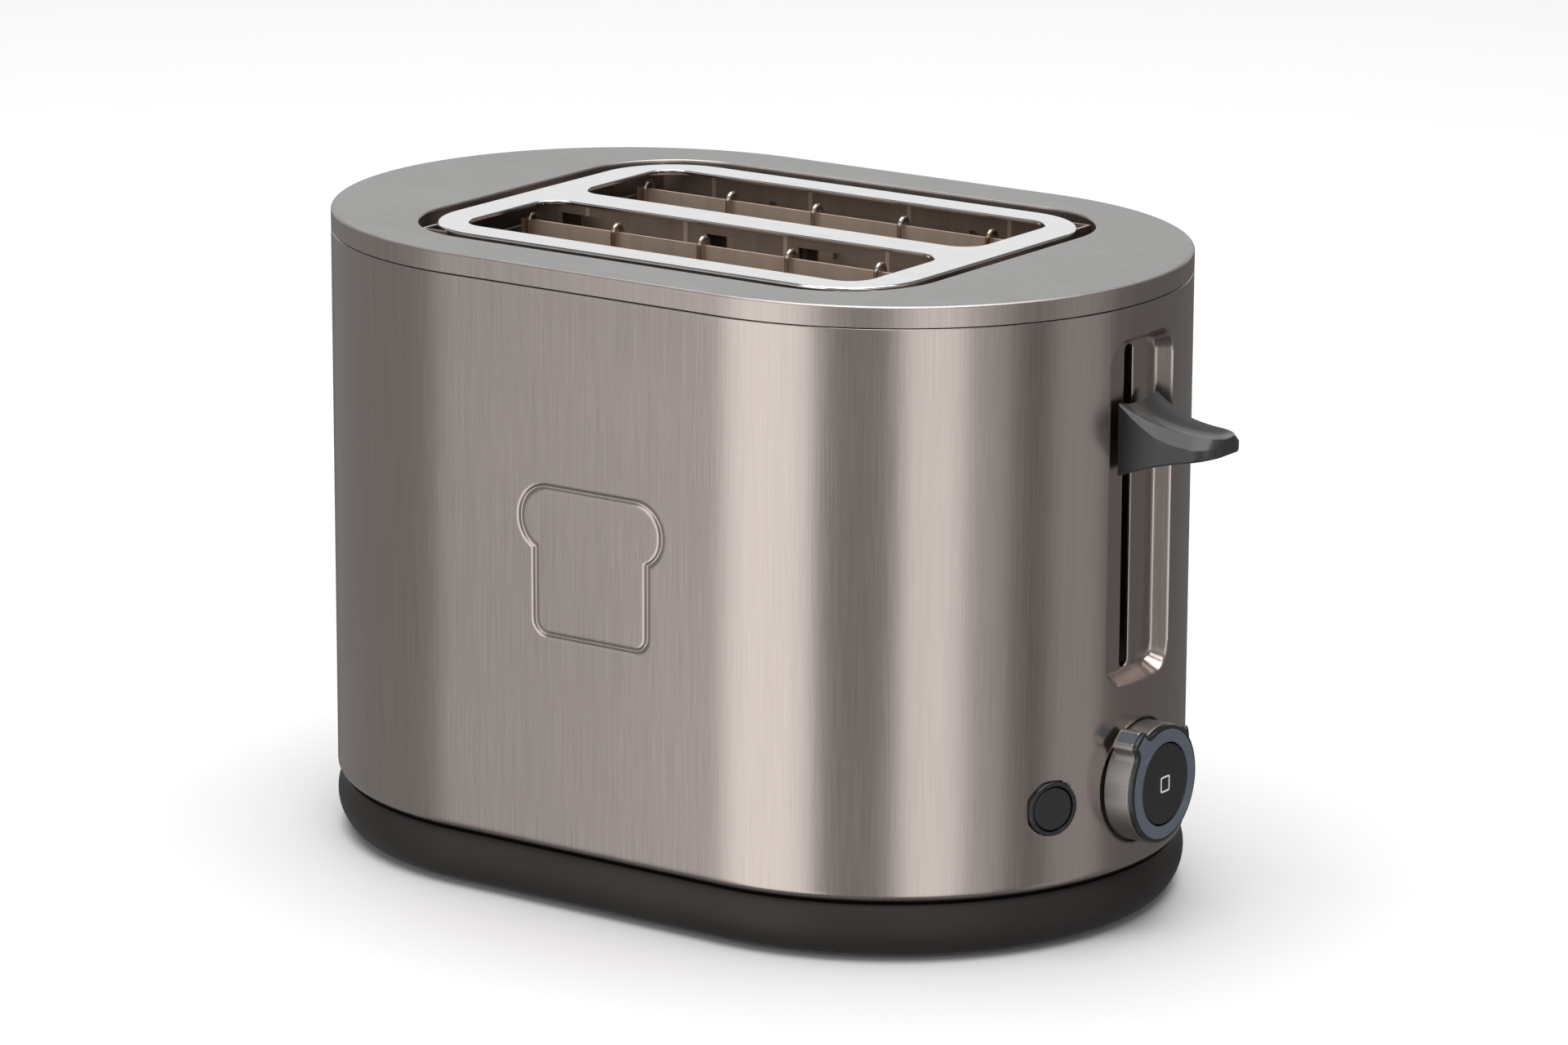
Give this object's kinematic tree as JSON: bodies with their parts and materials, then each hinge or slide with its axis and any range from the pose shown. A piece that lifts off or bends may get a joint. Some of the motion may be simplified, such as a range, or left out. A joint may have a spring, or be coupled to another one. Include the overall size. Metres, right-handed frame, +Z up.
{
  "type": "pop up toaster",
  "caption": "Pop-up toaster: rounded metal body, chromed slot frame, lever, browning knob with stop button, crumb tray and working toasting chassis.",
  "frame": {"origin": "centre of the bounding box in plan, on the plane that the feet stand on", "axes": "+X along the length towards the lever end, +Y to the back (the pressed emblem faces -Y), +Z up"},
  "size_m": [0.2907, 0.17, 0.1857],
  "materials": {
    "brushed_titanium": "vertical brushed warm grey, satin",
    "satin_grey_lid": "fine brushed satin grey",
    "polished_chrome": "polished",
    "dark_base_plastic": "fine satin",
    "foot_rubber": "matte",
    "tray_metal": "mill finish",
    "chassis_steel": "zinc plated",
    "reflector_steel": "copper-tinted mirror sheet",
    "white_nylon": "moulded",
    "charcoal_plastic": "fine satin",
    "bright_wire": "bright plated",
    "titanium_plastic": "metallised satin",
    "gloss_black": "gloss",
    "slate_blue": "satin",
    "button_black": "satin",
    "board_green": "solder mask",
    "component_black": "moulded",
    "copper_wire": "enamelled",
    "brass_leaf": "bright",
    "mica_board": "layered mica",
    "ribbon_wire": "oxidised"
  },
  "bodies": {
    "housing": {"outer_shell": "brushed_titanium", "top_cover": "satin_grey_lid", "slot_frame": "polished_chrome", "base": "dark_base_plastic", "rubber_feet": "foot_rubber", "end_plate_right": "chassis_steel", "end_plate_left": "chassis_steel", "side_panel_front": "reflector_steel", "side_panel_rear": "reflector_steel", "centre_panel_front": "reflector_steel", "centre_panel_rear": "reflector_steel", "guard_rails": "reflector_steel", "guide_rods": "bright_wire", "upper_rod_bracket": "chassis_steel", "lower_rod_bracket": "chassis_steel", "button_bezels": "gloss_black", "control_carrier": "charcoal_plastic", "control_board": "board_green", "browning_control": "chassis_steel", "button_switches": "gloss_black", "board_components": "component_black", "electromagnet_core": "chassis_steel", "electromagnet_coil": "copper_wire", "contact_block": "component_black", "contact_leaves": "brass_leaf", "terminal_block": "white_nylon", "cord_grommet": "foot_rubber", "chassis_screws": "bright_wire", "bracket_screws": "bright_wire", "heater_board_front_outer": "mica_board", "heating_ribbon_front_outer": "ribbon_wire", "heater_board_front_inner": "mica_board", "heating_ribbon_front_inner": "ribbon_wire", "heater_board_rear_inner": "mica_board", "heating_ribbon_rear_inner": "ribbon_wire", "heater_board_rear_outer": "mica_board", "heating_ribbon_rear_outer": "ribbon_wire"},
    "crumb_tray": {"crumb_tray": "tray_metal", "tray_front": "dark_base_plastic"},
    "carriage": {"carriage": "chassis_steel", "carriage_bushes": "white_nylon", "armature": "chassis_steel", "bread_lifter_front": "reflector_steel", "bread_lifter_rear": "reflector_steel", "lever": "charcoal_plastic", "return_spring": "bright_wire"},
    "browning_knob": {"knob_barrel": "titanium_plastic", "knob_face": "gloss_black", "knob_pointer_ring": "slate_blue"},
    "stop_button": {"stop_button": "button_black"},
    "defrost_button": {"defrost_button": "button_black"},
    "reheat_button": {"reheat_button": "button_black"},
    "guard_front_outer": {"bread_guard_front_outer": "bright_wire"},
    "guard_front_inner": {"bread_guard_front_inner": "bright_wire"},
    "guard_rear_inner": {"bread_guard_rear_inner": "bright_wire"},
    "guard_rear_outer": {"bread_guard_rear_outer": "bright_wire"}
  },
  "joints": [
    {"name": "lever_slide", "type": "slide", "parent": "housing", "child": "carriage", "axis": [0, 0, 1], "range_m": [-0.057, 0.014], "stiffness_N_per_m": 60, "springref_m": 0.0217, "deforming": ["return_spring"]},
    {"name": "browning_turn", "type": "hinge", "parent": "housing", "child": "browning_knob", "pos_m": [0.11645, 0, 0.043], "axis": [1, 0, 0], "range_deg": [-170, 90]},
    {"name": "stop_press", "type": "slide", "parent": "housing", "child": "stop_button", "axis": [-1, 0, 0], "range_m": [0, 0.0014], "stiffness_N_per_m": 600, "springref_m": -0.0015},
    {"name": "defrost_press", "type": "slide", "parent": "housing", "child": "defrost_button", "axis": [-0.9157, 0.4019, 0], "range_m": [0, 0.0018], "stiffness_N_per_m": 600, "springref_m": -0.0015},
    {"name": "reheat_press", "type": "slide", "parent": "housing", "child": "reheat_button", "axis": [-0.9157, -0.4019, 0], "range_m": [0, 0.0018], "stiffness_N_per_m": 600, "springref_m": -0.0015},
    {"name": "tray_slide", "type": "slide", "parent": "housing", "child": "crumb_tray", "axis": [-1, 0, 0], "range_m": [0, 0.17]},
    {"name": "swing_front_outer", "type": "hinge", "parent": "housing", "child": "guard_front_outer", "pos_m": [-0.01355, -0.0445, 0.1798], "axis": [1, 0, 0], "range_deg": [-0.86, 3.35]},
    {"name": "swing_front_inner", "type": "hinge", "parent": "housing", "child": "guard_front_inner", "pos_m": [-0.01355, -0.0121, 0.1798], "axis": [1, 0, 0], "range_deg": [-3.35, 0.86]},
    {"name": "swing_rear_inner", "type": "hinge", "parent": "housing", "child": "guard_rear_inner", "pos_m": [-0.01355, 0.0121, 0.1798], "axis": [1, 0, 0], "range_deg": [-0.86, 3.35]},
    {"name": "swing_rear_outer", "type": "hinge", "parent": "housing", "child": "guard_rear_outer", "pos_m": [-0.01355, 0.0445, 0.1798], "axis": [1, 0, 0], "range_deg": [-3.35, 0.86]}
  ],
  "couplings": [
    {"joint": "swing_front_outer", "follows": "lever_slide", "rad_per_m": -1.0105},
    {"joint": "swing_front_inner", "follows": "lever_slide", "rad_per_m": 1.0105},
    {"joint": "swing_rear_inner", "follows": "lever_slide", "rad_per_m": -1.0105},
    {"joint": "swing_rear_outer", "follows": "lever_slide", "rad_per_m": 1.0105}
  ]
}
